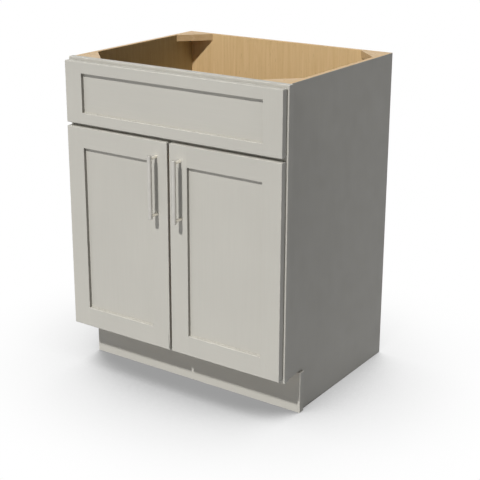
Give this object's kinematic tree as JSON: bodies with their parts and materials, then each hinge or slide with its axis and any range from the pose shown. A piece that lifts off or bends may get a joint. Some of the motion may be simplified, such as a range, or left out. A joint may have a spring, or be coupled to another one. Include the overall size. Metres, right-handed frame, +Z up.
{
  "type": "vanity sink base",
  "caption": "Face-frame bathroom vanity base with an open top for a sink, a fixed false drawer front, hinged framed doors with bar handles and a recessed toe space.",
  "frame": {"origin": "on the floor, under the middle of the bounding box, handles included", "axes": "+Z up, +Y towards the wall behind, +X to the right of a person facing the doors"},
  "size_m": [0.6858, 0.5884, 0.8763],
  "materials": {
    "painted_wood": "satin warm grey paint",
    "finished_side_plywood": "warm grey outside, clear-coated maple veneer inside and on the edges",
    "maple_veneer_plywood": "clear-coated maple veneer",
    "solid_maple": "clear-coated solid maple",
    "satin_nickel": "satin brushed",
    "zinc_steel": "bright zinc plate",
    "clear_rubber": "matt"
  },
  "bodies": {
    "cabinet": {"side_panel_left": "finished_side_plywood", "side_panel_right": "finished_side_plywood", "bottom_panel": "maple_veneer_plywood", "back_panel": "maple_veneer_plywood", "back_screws": "zinc_steel", "frame_stile_left": "painted_wood", "frame_stile_right": "painted_wood", "frame_rail_top": "painted_wood", "frame_rail_middle": "painted_wood", "frame_rail_bottom": "painted_wood", "frame_nails": "zinc_steel", "corner_block_front_left": "solid_maple", "corner_block_front_right": "solid_maple", "corner_block_back_left": "solid_maple", "corner_block_back_right": "solid_maple", "corner_block_nails": "zinc_steel", "toe_board": "painted_wood", "sub_toe_board": "maple_veneer_plywood", "toe_nails": "zinc_steel", "false_front_stile_left": "painted_wood", "false_front_stile_right": "painted_wood", "false_front_rail_top": "painted_wood", "false_front_rail_bottom": "painted_wood", "false_front_panel": "painted_wood", "false_front_pads": "clear_rubber", "false_front_cleat_left": "solid_maple", "false_front_cleat_right": "solid_maple", "false_front_screws": "zinc_steel", "hinge_arms_left": "zinc_steel", "hinge_arms_right": "zinc_steel", "hinge_arm_screws": "zinc_steel"},
    "left_door": {"left_door_hinge_stile": "painted_wood", "left_door_meeting_stile": "painted_wood", "left_door_rail_top": "painted_wood", "left_door_rail_bottom": "painted_wood", "left_door_panel": "painted_wood", "left_door_bumpers": "clear_rubber", "left_door_hinge_cups": "zinc_steel", "left_door_hinge_pins": "zinc_steel", "left_door_cup_screws": "zinc_steel", "left_handle_bar": "satin_nickel", "left_handle_posts": "satin_nickel", "left_handle_screws": "zinc_steel"},
    "right_door": {"right_door_hinge_stile": "painted_wood", "right_door_meeting_stile": "painted_wood", "right_door_rail_top": "painted_wood", "right_door_rail_bottom": "painted_wood", "right_door_panel": "painted_wood", "right_door_bumpers": "clear_rubber", "right_door_hinge_cups": "zinc_steel", "right_door_hinge_pins": "zinc_steel", "right_door_cup_screws": "zinc_steel", "right_handle_bar": "satin_nickel", "right_handle_posts": "satin_nickel", "right_handle_screws": "zinc_steel"}
  },
  "joints": [
    {"name": "left_door_swing", "type": "hinge", "parent": "cabinet", "child": "left_door", "pos_m": [-0.3319, -0.2502, 0.40935], "axis": [0, 0, -1], "range_deg": [0, 105]},
    {"name": "right_door_swing", "type": "hinge", "parent": "cabinet", "child": "right_door", "pos_m": [0.3319, -0.2502, 0.40935], "axis": [0, 0, 1], "range_deg": [0, 105]}
  ]
}
